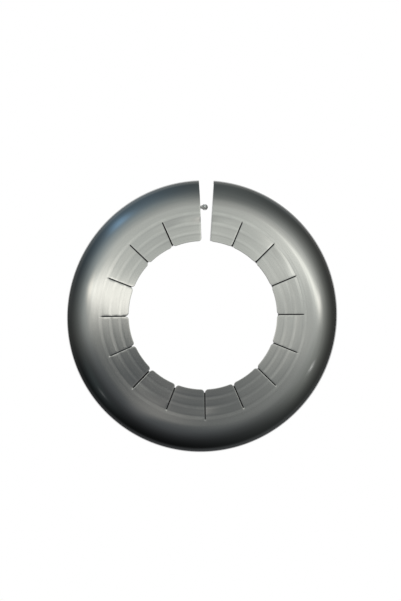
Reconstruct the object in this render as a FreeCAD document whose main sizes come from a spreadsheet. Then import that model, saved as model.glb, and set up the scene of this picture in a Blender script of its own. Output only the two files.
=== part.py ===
import FreeCAD, Part
import math
import os

import Sketcher

# A cover ring for a pipe where it leaves a wall. It is one moulded shell: a domed ring, split at the top
# so that it opens round the pipe, with fingers that bend to the pipe. Shallow grooves round the fingers
# mark where they are cut for larger pipes. A ball-headed peg on the left end snaps into a socket under
# the right end. The origin is the centre of the ring on the wall, +Z leaves the wall and +Y points at
# the split.

NODE = "rosette"

# Lengths in millimetres, angles in degrees.
SIZES = {
    # The ring. From the pipe it falls by finger_tilt to the crown, the wide curve of the dome. rim_curve
    # rounds it into the upright lip that stands on the wall.
    "outer_diameter": 165.0,
    "pipe_diameter": 90.0,
    "overall_height": 14.0,
    "shell_wall": 1.8,
    "crown_curve": 25.5,
    "rim_curve": 1.2,
    "lip_height": 5.0,
    # The fingers. The slots between them end in the outer groove. The one opposite the split runs further.
    # The slots stand at even angles, the first and the last a little past their even share of the ring.
    "finger_count": 16,
    "finger_tilt": 4.0,
    "finger_corner": 1.8,
    "slot_width": 0.6,
    "relief_slot_extra": 2.1,
    "first_slot_turn": 1.25,
    "last_slot_turn": 0.1,
    # The grooves that mark the larger pipes: a short steep side towards the pipe and a long gentle one.
    # The outer groove lies outer_groove_inset inside the crown. Each band is band_growth times as wide as
    # the one before, and the sides of a groove take their shares of the band inside it.
    "outer_groove_inset": 5.4,
    "band_growth": 1.12,
    "groove_depth": 0.3,
    "steep_side_share": 0.09,
    "gentle_side_share": 0.36,
    # The split: how far each edge stands from the middle at the finger tips, and how it leans.
    "split_left_offset": 0.95,
    "split_left_lean": 1.7,
    "split_right_offset": 4.6,
    "split_right_lean": 4.0,
    # The snap fastener: its axis lies clip_inset inside the crown and clip_drop under the shell.
    "clip_inset": 0.2,
    "clip_drop": 2.45,
    "ball_diameter": 3.8,
    "ball_reach": 3.35,
    "neck_diameter": 1.7,
    "peg_root_length": 5.0,
    "socket_clearance": 0.15,
    "socket_mouth_diameter": 3.3,
    "socket_wall": 1.2,
    "socket_slit": 1.0,
}

GROOVES = 3
# How far a cut runs past the shell, and how far joined shapes run into each other.
OVERRUN = 4.0
OVERLAP = 0.4
# The largest difference between two places that count as one.
SAME_PLACE = 1e-3

doc = FreeCAD.newDocument("PipeRosette")
sheet = doc.addObject("Spreadsheet::Sheet", "Sizes")
for row, (alias, number) in enumerate(SIZES.items(), start=1):
    sheet.set(f"A{row}", alias)
    sheet.set(f"B{row}", str(number))
    sheet.setAlias(f"B{row}", alias)
doc.recompute()


def formula(text):
    """A formula of the sheet, from one that writes each size with a leading $."""
    return text.replace("$", "Sizes.")


def value(text):
    """The number that a formula gives."""
    return float(sheet.evalExpression(formula(text)))


def origin_part(owner, role):
    """One of a body's own origin planes or axes."""
    return next(item for item in owner.Origin.OriginFeatures if item.Role == role)


def tie(feature, sizes):
    """Bind properties of a feature to formulas of the sheet."""
    for name, text in sizes.items():
        feature.setExpression(name, formula(text))


def arc_through(start, end, radius, turn):
    """The shorter arc from start to end that turns left (1) or right (-1) on the way."""
    middle = (start + end) / 2
    along = end - start
    towards_centre = FreeCAD.Vector(-along.y, along.x, 0) * turn
    towards_centre.normalize()
    centre = middle + towards_centre * math.sqrt(max(radius**2 - (along.Length / 2) ** 2, 0))
    first, last = (start, end) if turn > 0 else (end, start)
    first_angle = math.atan2(first.y - centre.y, first.x - centre.x)
    last_angle = math.atan2(last.y - centre.y, last.x - centre.x)
    circle = Part.Circle(centre, FreeCAD.Vector(0, 0, 1), radius)
    if last_angle < first_angle:
        last_angle += 2 * math.pi
    return Part.ArcOfCircle(circle, first_angle, last_angle)


def add_sketch(owner, name, plane, corners, place=None):
    """A sketch of one closed outline on an origin plane.

    Each corner is a pair of formulas, with a radius and a turn (1 left, -1 right) where the edge that
    leaves it is an arc. Every corner and radius stays tied to its formula. place ties the sketch's own
    offset.
    """
    sketch = owner.newObject("Sketcher::SketchObject", name)
    sketch.AttachmentSupport = [(origin_part(owner, plane), "")]
    sketch.MapMode = "FlatFace"
    points = [FreeCAD.Vector(value(corner[0]), value(corner[1]), 0) for corner in corners]
    ends = []
    for number, corner in enumerate(corners):
        start = points[number]
        end = points[(number + 1) % len(points)]
        if len(corner) == 2:
            edge = sketch.addGeometry(Part.LineSegment(start, end), False)
            ends.append((edge, 1, 2))
        else:
            radius, turn = corner[2:]
            edge = sketch.addGeometry(arc_through(start, end, value(radius), turn), False)
            ends.append((edge, 1, 2) if turn > 0 else (edge, 2, 1))
    for (edge, _, last), (following, first, _) in zip(ends, ends[1:] + ends[:1]):
        sketch.addConstraint(Sketcher.Constraint("Coincident", edge, last, following, first))
    for number, (corner, (edge, first, _)) in enumerate(zip(corners, ends)):
        for kind, text in zip(("DistanceX", "DistanceY"), corner):
            measure(sketch, f"corner_{number}_{kind[-1].lower()}", (kind, -1, 1, edge, first), text)
        if len(corner) > 2:
            measure(sketch, f"curve_{number}", ("Radius", edge), corner[2])
    tie(sketch, place or {})
    doc.recompute()
    return sketch


def measure(sketch, name, constraint, text):
    """A named dimension of a sketch that follows a formula of the sheet."""
    index = sketch.addConstraint(Sketcher.Constraint(*constraint, value(text)))
    sketch.renameConstraint(index, name)
    sketch.setExpression("Constraints." + name, formula(text))


def add_feature(owner, kind, name, sketch, sizes, **settings):
    """A feature of the body, made from a sketch. It has to change the volume."""
    before = owner.Shape.Volume if owner.Tip else 0.0
    feature = owner.newObject(kind, name)
    feature.Profile = sketch
    for setting, choice in settings.items():
        setattr(feature, setting, choice)
    tie(feature, sizes)
    doc.recompute()
    if abs(owner.Shape.Volume - before) < SAME_PLACE:
        raise RuntimeError(name + " changes nothing")
    return feature


def round_edges(owner, name, radius, wanted):
    """A fillet on the edges of the body that a test picks."""
    base = owner.Tip
    names = [f"Edge{number}" for number, edge in enumerate(base.Shape.Edges, start=1) if wanted(edge)]
    fillet = owner.newObject("PartDesign::Fillet", name)
    fillet.Base = (base, names)
    tie(fillet, {"Radius": radius})
    doc.recompute()
    return fillet


# Sizes and places that several features share, as formulas.
RIM = "$outer_diameter / 2"
TIP = "$pipe_diameter / 2"
TILT = "$finger_tilt * 1 deg"
CAVITY_RADIUS = "($ball_diameter / 2 + $socket_clearance)"
UPRIGHT_WALL = f"$shell_wall / cos({TILT})"


def on_fingers(radius, below="0"):
    """Formulas of a point on the fingers' sloping upper side, or some way below it."""
    return radius, f"$overall_height - ({radius} - {TIP}) * tan({TILT}) - ({below})"


def on_crown(lean, inwards="0"):
    """Formulas of a point on the crown, where it leans by an angle, or some way inside it."""
    radius = f"($crown_curve - {inwards})"
    return f"{CROWN_RADIUS} + {radius} * sin({lean})", f"{CROWN_HEIGHT} + {radius} * cos({lean})"


def split_x(side, height):
    """Distance of a split edge from the middle, at a height along +Y."""
    return f"(${side}_offset + ({height} - {TIP}) * tan(${side}_lean * 1 deg))"


# The angle at which the crown leans where it meets the rim, and the centre that it is turned about. Both
# follow from the height of the dome over its lip. INNER_SLOPE is its lean where the inside meets the lip.
LIP_DROP = f"($overall_height - $lip_height - ({RIM} - $rim_curve - {TIP}) * tan({TILT}))"
SLOPE = f"({TILT} + acos(($crown_curve - {LIP_DROP} * cos({TILT})) / ($crown_curve - $rim_curve)))"
CROWN_RADIUS = f"({RIM} - $rim_curve - ($crown_curve - $rim_curve) * sin({SLOPE}))"
INNER_SLOPE = f"asin(({RIM} - $shell_wall - {CROWN_RADIUS}) / ($crown_curve - $shell_wall))"
CROWN_START = f"({CROWN_RADIUS} + $crown_curve * sin({TILT}))"
CROWN_HEIGHT = f"({on_fingers(CROWN_START)[1]} - $crown_curve * cos({TILT}))"
SLOT_END = f"({CROWN_START} - $outer_groove_inset)"
CLIP_RADIUS = f"({CROWN_START} - $clip_inset)"
CLIP_HEIGHT = f"({on_fingers(CLIP_RADIUS, UPRIGHT_WALL)[1]} - $clip_drop)"
SOCKET_FACE = split_x("split_right", CLIP_RADIUS)
PEG_FACE = split_x("split_left", CLIP_RADIUS)


def bands(count):
    """Width of a number of bands, counted from the pipe, as a multiple of the first one's."""
    return "(" + " + ".join(f"$band_growth ^ {power}" for power in range(count)) + ")"


def groove(number):
    """Corners of the cut for one groove. The first is the one by the pipe."""
    first_band = f"({SLOT_END} - {TIP}) / {bands(GROOVES)}"
    band = f"({first_band} * $band_growth ^ {number - 1})"
    lowest = f"({TIP} + {first_band} * {bands(number)})"
    outer = f"({lowest} + {band} * $gentle_side_share)"
    inner = f"({lowest} - {band} * $steep_side_share)"
    return [
        on_fingers(inner),
        on_fingers(lowest, "$groove_depth"),
        on_fingers(outer),
        on_fingers(outer, f"-{OVERLAP}"),
        on_fingers(inner, f"-{OVERLAP}"),
    ]


body = doc.addObject("PartDesign::Body", "Rosette")
body.Label = NODE

section = add_sketch(
    body,
    "Section",
    "XZ_Plane",
    [
        (f"{RIM} - $shell_wall", "0"),
        (RIM, "0"),
        (RIM, "$lip_height", "$rim_curve", 1),
        (*on_crown(SLOPE), "$crown_curve", 1),
        on_crown(TILT),
        on_fingers(TIP),
        on_fingers(TIP, UPRIGHT_WALL),
        (*on_crown(TILT, "$shell_wall"), "$crown_curve - $shell_wall", -1),
        on_crown(INNER_SLOPE, "$shell_wall"),
    ],
)
add_feature(
    body,
    "PartDesign::Revolution",
    "Shell",
    section,
    {},
    ReferenceAxis=(origin_part(body, "Z_Axis"), [""]),
    Angle=360.0,
)

# One block under the crown's edge carries the peg and the socket. The split then parts it.
block_half = f"({CAVITY_RADIUS} + $socket_wall)"
block_left = f"-({PEG_FACE} + $peg_root_length)"
block_right = f"({SOCKET_FACE} + $ball_reach + {block_half})"
block_foot = f"({CLIP_HEIGHT} - {block_half})"
block_outline = add_sketch(
    body,
    "BlockOutline",
    "XY_Plane",
    [
        (block_left, f"{CLIP_RADIUS} - {block_half}"),
        (block_right, f"{CLIP_RADIUS} - {block_half}"),
        (block_right, f"{CLIP_RADIUS} + {block_half}"),
        (block_left, f"{CLIP_RADIUS} + {block_half}"),
    ],
    {"AttachmentOffset.Base.z": block_foot},
)
add_feature(
    body,
    "PartDesign::Pad",
    "ClipBlock",
    block_outline,
    {"Length": f"{on_fingers(CLIP_RADIUS, UPRIGHT_WALL)[1]} - {block_foot} + {OVERLAP}"},
)


def slot_corners(end):
    """Outline of a slot along +X, from inside the pipe opening to its round end."""
    half = "$slot_width / 2"
    return [
        (f"{TIP} - {OVERRUN}", f"-{half}"),
        (f"{end} - {half}", f"-{half}", half, 1),
        (end, "0", half, 1),
        (f"{end} - {half}", half),
        (f"{TIP} - {OVERRUN}", half),
    ]


# The slots part the fingers. The first stands one pitch past the split.
slot_turn = {"AttachmentOffset.Rotation.Angle": "90 + 360 / $finger_count + $first_slot_turn"}
slot_shape = slot_corners(SLOT_END)
slot_outline = add_sketch(body, "SlotOutline", "XY_Plane", slot_shape, slot_turn)
slot = add_feature(body, "PartDesign::Pocket", "Slot", slot_outline, {}, Type="ThroughAll", Midplane=True)
slots = body.newObject("PartDesign::PolarPattern", "Slots")
slots.Originals = [slot]
slots.Axis = (origin_part(body, "Z_Axis"), [""])
between = "360 * ($finger_count - 2) / $finger_count + $last_slot_turn - $first_slot_turn"
tie(slots, {"Angle": between, "Occurrences": "$finger_count - 1"})
body.Tip = slots
doc.recompute()

relief_outline = add_sketch(
    body,
    "ReliefOutline",
    "XY_Plane",
    slot_corners(f"({SLOT_END} + $relief_slot_extra)"),
    {"AttachmentOffset.Rotation.Angle": "-90 + ($first_slot_turn + $last_slot_turn) / 2"},
)
add_feature(body, "PartDesign::Pocket", "ReliefSlot", relief_outline, {}, Type="ThroughAll", Midplane=True)

split_outline = add_sketch(
    body,
    "SplitOutline",
    "XY_Plane",
    [
        (f"-{split_x('split_left', f'({TIP} - {OVERRUN})')}", f"{TIP} - {OVERRUN}"),
        (split_x("split_right", f"({TIP} - {OVERRUN})"), f"{TIP} - {OVERRUN}"),
        (split_x("split_right", f"({RIM} + {OVERRUN})"), f"{RIM} + {OVERRUN}"),
        (f"-{split_x('split_left', f'({RIM} + {OVERRUN})')}", f"{RIM} + {OVERRUN}"),
    ],
)
add_feature(body, "PartDesign::Pocket", "Split", split_outline, {}, Type="ThroughAll", Midplane=True)


def at_tip_corner(edge):
    """An upright edge where a slot or the split meets the pipe opening."""
    first = edge.Vertexes[0].Point
    last = edge.Vertexes[-1].Point
    rise = abs(first.z - last.z)
    shift = math.hypot(first.x - last.x, first.y - last.y)
    from_tip = abs(math.hypot(first.x, first.y) - value(TIP))
    return shift < SAME_PLACE < rise and from_tip < SAME_PLACE


round_edges(body, "FingerCorners", "$finger_corner", at_tip_corner)

for number in range(1, GROOVES + 1):
    groove_outline = add_sketch(body, f"GrooveOutline{number}", "XZ_Plane", groove(number))
    add_feature(
        body,
        "PartDesign::Groove",
        f"Groove{number}",
        groove_outline,
        {},
        ReferenceAxis=(origin_part(body, "Z_Axis"), [""]),
        Angle=360.0,
    )

# The peg and the socket are turned about one axis, which runs along X through the clip.
clip_axis_place = {
    "AttachmentOffset.Base.y": CLIP_RADIUS,
    "AttachmentOffset.Base.z": CLIP_HEIGHT,
}
NECK_ON_BALL = "sqrt(($ball_diameter / 2)^2 - ($neck_diameter / 2)^2)"
ball_centre = f"($ball_reach - {PEG_FACE})"
peg_outline = add_sketch(
    body,
    "PegOutline",
    "XY_Plane",
    [
        (f"-({PEG_FACE} + {OVERLAP})", "0"),
        (f"{ball_centre} + $ball_diameter / 2", "0", "$ball_diameter / 2", 1),
        (ball_centre, "$ball_diameter / 2", "$ball_diameter / 2", 1),
        (f"{ball_centre} - {NECK_ON_BALL}", "$neck_diameter / 2"),
        (f"-({PEG_FACE} + {OVERLAP})", "$neck_diameter / 2"),
    ],
    clip_axis_place,
)
add_feature(
    body,
    "PartDesign::Revolution",
    "Peg",
    peg_outline,
    {},
    ReferenceAxis=(peg_outline, ["H_Axis"]),
    Angle=360.0,
)

MOUTH_IN_CAVITY = f"sqrt({CAVITY_RADIUS}^2 - ($socket_mouth_diameter / 2)^2)"
cavity_centre = f"({SOCKET_FACE} + $ball_reach)"
socket_outline = add_sketch(
    body,
    "SocketOutline",
    "XY_Plane",
    [
        (f"{SOCKET_FACE} - {OVERLAP}", "0"),
        (f"{cavity_centre} + {CAVITY_RADIUS}", "0", CAVITY_RADIUS, 1),
        (cavity_centre, CAVITY_RADIUS, CAVITY_RADIUS, 1),
        (f"{cavity_centre} - {MOUTH_IN_CAVITY}", "$socket_mouth_diameter / 2"),
        (f"{SOCKET_FACE} - {OVERLAP}", "$socket_mouth_diameter / 2"),
    ],
    clip_axis_place,
)
add_feature(
    body,
    "PartDesign::Groove",
    "Socket",
    socket_outline,
    {},
    ReferenceAxis=(socket_outline, ["H_Axis"]),
    Angle=360.0,
)

# A slit from below lets the socket spring open over the ball.
slit_outline = add_sketch(
    body,
    "SlitOutline",
    "XY_Plane",
    [
        (f"{SOCKET_FACE} - {OVERLAP}", f"{CLIP_RADIUS} - $socket_slit / 2"),
        (f"{cavity_centre} + {CAVITY_RADIUS}", f"{CLIP_RADIUS} - $socket_slit / 2"),
        (f"{cavity_centre} + {CAVITY_RADIUS}", f"{CLIP_RADIUS} + $socket_slit / 2"),
        (f"{SOCKET_FACE} - {OVERLAP}", f"{CLIP_RADIUS} + $socket_slit / 2"),
    ],
    {"AttachmentOffset.Base.z": f"{block_foot} - {OVERLAP}"},
)
add_feature(
    body,
    "PartDesign::Pocket",
    "SocketSlit",
    slit_outline,
    {"Length": f"{block_half} + {OVERLAP}"},
    Reversed=True,
)

body.Placement = FreeCAD.Placement()
doc.recompute()

for item in doc.Objects:
    if {"Invalid", "Error"} & set(item.State):
        raise RuntimeError(f"{item.Label}: {item.State}")
shape = body.Shape
if shape.isNull() or not shape.isValid() or len(shape.Solids) != 1:
    raise RuntimeError(f"{body.Label}: the shape isn't one valid solid")

box = shape.optimalBoundingBox(False, False)
print(f"{body.Label}: {shape.Volume / 1000:.2f} cm3, x {box.XMin:.3f} to {box.XMax:.3f}, "
      f"y {box.YMin:.3f} to {box.YMax:.3f}, z {box.ZMin:.3f} to {box.ZMax:.3f}")

os.makedirs("parts", exist_ok=True)
shape.exportStep(f"parts/{body.Label}.step")
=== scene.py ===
"""A silver pipe rosette: a split cover ring whose fingers bend to the pipe that it goes round."""

import logging
import math
from dataclasses import dataclass, field
from enum import Enum
from functools import cached_property

import bmesh
import bpy
from mathutils import Matrix, Vector


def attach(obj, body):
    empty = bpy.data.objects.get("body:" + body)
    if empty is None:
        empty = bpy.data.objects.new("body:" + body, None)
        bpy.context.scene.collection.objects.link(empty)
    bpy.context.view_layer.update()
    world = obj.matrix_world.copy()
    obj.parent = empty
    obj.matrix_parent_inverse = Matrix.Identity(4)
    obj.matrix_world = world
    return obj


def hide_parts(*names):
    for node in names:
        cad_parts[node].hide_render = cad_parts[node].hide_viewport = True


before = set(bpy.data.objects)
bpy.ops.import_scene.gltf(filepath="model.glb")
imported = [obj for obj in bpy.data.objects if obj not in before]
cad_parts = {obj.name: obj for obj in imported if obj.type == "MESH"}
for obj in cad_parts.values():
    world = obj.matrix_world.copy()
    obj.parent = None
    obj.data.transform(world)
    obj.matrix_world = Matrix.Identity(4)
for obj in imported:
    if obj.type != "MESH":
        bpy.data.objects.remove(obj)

log = logging.getLogger("rosette")

# Every size below is in millimetres and every angle in degrees, if nothing else is said.
# Points nearer than WELD are one point, and SLACK is more than rounding can change a size.
MM = 0.001
WELD = 1e-4
SLACK = 1e-6
BODY = "root"
NODE = "rosette"
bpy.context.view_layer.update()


def smoothstep(low: float, high: float, number: float) -> float:
    """Rise from 0 to 1 between two numbers, with no corner at either end.

    Args:
        low: Where the rise begins.
        high: Where it ends.
        number: The place to read.

    Returns:
        The height there, from 0 to 1.
    """
    share = min(max((number - low) / (high - low), 0.0), 1.0)
    return share * share * (3.0 - 2.0 * share)


def put_in_order(mesh: bmesh.types.BMesh) -> None:
    """Sort a mesh's points and faces by their places, which is the same order each run.

    Args:
        mesh: The mesh.
    """
    for number, vert in enumerate(sorted(mesh.verts, key=lambda vert: vert.co[:])):
        vert.index = number
    mesh.verts.sort()
    middles = {face: face.calc_center_median()[:] for face in mesh.faces}
    for number, face in enumerate(sorted(mesh.faces, key=middles.get)):
        face.index = number
    mesh.faces.sort()


def merge_doubles(mesh: bmesh.types.BMesh) -> None:
    """Merge the points of a mesh that coincide, and turn its faces outwards.

    Args:
        mesh: The mesh.
    """
    put_in_order(mesh)
    bmesh.ops.remove_doubles(mesh, verts=mesh.verts, dist=WELD)
    bmesh.ops.recalc_face_normals(mesh, faces=mesh.faces)


def rounding(distance: float, radius: float) -> float:
    """How far a rounded edge has dropped at a distance from it."""
    left = radius - min(max(distance, 0.0), radius)
    return radius - math.sqrt(radius**2 - left**2)


def finish_piece(name: str, mesh: bmesh.types.BMesh, sharp: float = 40.0) -> bpy.types.Object:
    """Turn a mesh in millimetres into a shown piece in metres.

    Args:
        name: The piece's name.
        mesh: Its mesh, which is freed.
        sharp: Angle in degrees from which an edge shows as an edge.

    Returns:
        The object, at the origin.
    """
    put_in_order(mesh)
    bmesh.ops.scale(mesh, vec=(MM, MM, MM), verts=mesh.verts)
    for face in mesh.faces:
        face.smooth = True
    data = bpy.data.meshes.new(name)
    mesh.to_mesh(data)
    mesh.free()
    data.set_sharp_from_angle(angle=math.radians(sharp))
    piece = bpy.data.objects.new(name, data)
    bpy.context.scene.collection.objects.link(piece)
    return piece


def dress_piece(piece: bpy.types.Object, material: bpy.types.Material) -> None:
    """Give a piece its finish and tie it to the model.

    Args:
        piece: The piece.
        material: Its finish.
    """
    piece.data.materials.append(material)
    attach(piece, BODY)
    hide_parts(NODE)
    log.info("%s: %d faces", piece.name, len(piece.data.polygons))


class Side(Enum):
    """The two sides of a gap between fingers, by the place of their numbers in it."""

    LATER = 0
    EARLIER = 1


@dataclass(frozen=True)
class Groove:
    """One groove round the fingers, which marks where they are cut for a larger pipe.

    Attributes:
        lowest: Its radius where it is deepest.
        steep: Width of its inner side.
        gentle: Width of its outer side.
    """

    lowest: float
    steep: float
    gentle: float

    def dip(self, radius: float, depth: float) -> float:
        """Depth of the groove at a radius, where it is `depth` at its lowest."""
        away = radius - self.lowest
        return depth * max(1.0 - abs(away) / (self.gentle if away > 0 else self.steep), 0.0)

    def rows(self, soft: float) -> list[float]:
        """Radii at which the mesh needs a ring of edges to draw the groove.

        Args:
            soft: Half the width over which its corners are rounded off.

        Returns:
            The radii in order.
        """
        inner, outer = self.lowest - self.steep, self.lowest + self.gentle
        flat = 3 * soft
        near = [inner - soft, inner + soft, self.lowest - soft, self.lowest + soft]
        return near + [self.lowest + self.gentle / 2, outer - flat, outer, outer + flat]


@dataclass(frozen=True)
class Section:
    """The moulded section of the ring, from the pipe opening to the wall.

    Attributes:
        outer_radius: Half the ring's width.
        pipe_radius: Half the opening's width.
        height: Height of the finger tips over the wall.
        wall: Thickness of the plastic.
        crown_curve: Radius of the crown's curve.
        rim_curve: Radius of the curve between the crown and the rim.
        lip_height: Height of the upright rim.
        finger_tilt: Slope of the fingers.
        groove_inset: How far the slots end before the crown.
        band_growth: Width of a band between grooves, by the width of the band before it.
        groove_depth: Depth of the grooves.
        steep_share: Width of a groove's inner side, by the width of its band.
        gentle_share: Width of a groove's outer side, by the width of its band.
        groove_count: How many grooves there are.
    """

    outer_radius: float = 82.5
    pipe_radius: float = 45.0
    height: float = 14.0
    wall: float = 1.8
    crown_curve: float = 25.5
    rim_curve: float = 1.2
    lip_height: float = 5.0
    finger_tilt: float = 4.0
    groove_inset: float = 5.4
    band_growth: float = 1.12
    groove_depth: float = 0.025
    steep_share: float = 0.24
    gentle_share: float = 0.36
    groove_count: int = 3

    @cached_property
    def tilt(self) -> float:
        """The fingers' slope in radians."""
        return math.radians(self.finger_tilt)

    @cached_property
    def rim_lean(self) -> float:
        """Find where the crown passes into the rim.

        Returns:
            The surface's lean there, in radians.
        """
        run = self.outer_radius - self.rim_curve - self.pipe_radius
        drop = (self.height - self.lip_height - run * math.tan(self.tilt)) * math.cos(self.tilt)
        share = (self.crown_curve - drop) / (self.crown_curve - self.rim_curve)
        return self.tilt + math.acos(share)

    @cached_property
    def rim_centre(self) -> Vector:
        """The centre that the rim is turned about, in the XZ plane."""
        return Vector((self.outer_radius - self.rim_curve, 0, self.lip_height))

    @cached_property
    def crown_centre(self) -> Vector:
        """Find the centre that the crown is turned about.

        Returns:
            The centre, in the XZ plane.
        """
        away = self.crown_curve - self.rim_curve
        lean = Vector((math.sin(self.rim_lean), 0, math.cos(self.rim_lean)))
        return self.rim_centre - lean * away

    @cached_property
    def crown_start(self) -> float:
        """The radius at which the fingers' slope passes into the crown."""
        return self.crown_centre.x + self.crown_curve * math.sin(self.tilt)

    @cached_property
    def slot_end(self) -> float:
        """The radius at which the slots between the fingers end."""
        return self.crown_start - self.groove_inset

    def cone_height(self, radius: float) -> float:
        """Height of the fingers' slope at a radius."""
        return self.height - (radius - self.pipe_radius) * math.tan(self.tilt)

    @cached_property
    def grooves(self) -> list[Groove]:
        """Lay out the grooves.

        Returns:
            The grooves, from the pipe outwards.
        """
        shares = [self.band_growth**number for number in range(self.groove_count)]
        first = (self.slot_end - self.pipe_radius) / sum(shares)
        made = []
        for number, share in enumerate(shares):
            lowest = self.pipe_radius + first * sum(shares[: number + 1])
            band = first * share
            made.append(Groove(lowest, band * self.steep_share, band * self.gentle_share))
        return made

    def normal(self, place: Vector) -> Vector:
        """The way out of the surface at a point of the outline.

        Args:
            place: A point of the outline, in the XZ plane.

        Returns:
            A vector of length 1 in that plane.
        """
        if place.z < self.lip_height + SLACK:
            return Vector((1, 0, 0))
        if place.x < self.crown_start:
            return Vector((math.sin(self.tilt), 0, math.cos(self.tilt)))
        meeting = self.rim_centre.x + self.rim_curve * math.sin(self.rim_lean)
        centre = self.rim_centre if place.x > meeting + SLACK else self.crown_centre
        return (place - centre).normalized()

    def inside(self, place: Vector) -> Vector:
        """The point of the inner surface that faces a point of the outline.

        Args:
            place: A point of the outline, in the XZ plane.

        Returns:
            A point one wall further in. All of the rim faces the inner corner.
        """
        radius = self.outer_radius - self.wall
        if place.z < SLACK:
            return Vector((radius, 0, 0))
        if place.x < self.crown_start:
            return Vector((place.x, 0, place.z - self.wall / math.cos(self.tilt)))
        behind = place - self.normal(place) * self.wall
        if behind.x < radius and place.z > self.lip_height + SLACK:
            return behind
        curve = self.crown_curve - self.wall
        lean = math.asin((radius - self.crown_centre.x) / curve)
        return Vector((radius, 0, self.crown_centre.z + curve * math.cos(lean)))


@dataclass(frozen=True)
class Gap:
    """A gap between two fingers: a slot, or the split where the ring opens.

    Attributes:
        azimuth: Where its middle line stands.
        end: Its outer end, along the middle line.
        halves: Distance of each edge from the middle line, at the start.
        leans: How far each edge leans away from the middle line.
        start: Where those distances are measured, along the middle line.
    """

    azimuth: float
    end: float
    halves: tuple[float, float]
    leans: tuple[float, float] = (0.0, 0.0)
    start: float = 45.0

    def straight(self, side: Side, along: float) -> float:
        """Distance from the middle line to an edge, with no round end."""
        lean = math.radians(self.leans[side.value])
        return self.halves[side.value] + (along - self.start) * math.tan(lean)

    def edge(self, side: Side, radius: float) -> float:
        """Angle between the middle line and an edge, at a radius.

        Args:
            side: The side of the gap.
            radius: Distance from the middle of the ring.

        Returns:
            The angle in radians, which falls to 0 over the gap's round end.
        """
        across = self.straight(side, radius)
        across = self.straight(side, math.sqrt(radius**2 - across**2))
        into_end = radius - (self.end - self.halves[side.value])
        if into_end > 0:
            across = math.sqrt(max(self.halves[side.value] ** 2 - into_end**2, 0.0))
        return math.asin(across / radius)

    def distance(self, side: Side, radius: float, angle: float) -> float:
        """Distance of a point of a finger from the gap's edge.

        Args:
            side: The side of the gap that the point is on.
            radius: The point's distance from the middle of the ring.
            angle: Its angle from the gap's middle line, in radians.

        Returns:
            The distance.
        """
        along, across = radius * math.cos(angle), radius * math.sin(angle)
        past = along - (self.end - self.halves[side.value])
        if past > 0:
            return max(math.hypot(past, across) - self.halves[side.value], 0.0)
        lean = math.radians(self.leans[side.value])
        return max((across - self.straight(side, along)) * math.cos(lean), 0.0)


@dataclass(frozen=True)
class Spring:
    """How a finger has sprung from its moulded place.

    Attributes:
        droop: How far it hangs towards the pipe.
        roll: How far it is turned about its own length.
        crowning: How much further its edges are turned than its middle.
    """

    droop: float = 0.0
    roll: float = 0.0
    crowning: float = 0.0


# By finger and by slot, from the split on against the clock.
SPRINGS = tuple(
    Spring(*angles)
    for angles in (
        (0.87, 1.69, -0.96), (-0.39, 0.53, 0.04), (0.28, 0.63, -0.26), (-0.29, 0.12, 0.36),
        (0.94, -0.14, 0.16), (-0.98, 0.61, 0.11), (-0.1, 1.09, 0.94), (-1.17, -0.37, 0.08),
        (-0.85, 0.81, -0.25), (-0.06, 0.21, -0.07), (0.51, -0.27, 0.28), (0.95, -0.58, -0.14),
        (0.92, -0.22, -0.11), (1.43, -0.75, -0.56), (0.12, -0.69, -0.01), (0.06, 1.15, 1.07),
    )
)
SLOT_TURNS = (
    1.1, 1.15, 1.19, 0.95, 1.35, 1.25, 1.42, 1.27, 1.13, 1.0, 0.95, 0.58, 0.47, 0.04, -0.47,
)
SLOT_HALVES = (
    0.38, 0.28, 0.22, 0.19, 0.25, 0.39, 0.33, 0.3, 0.33, 0.27, 0.23, 0.22, 0.25, 0.31, 0.32,
)


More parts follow.
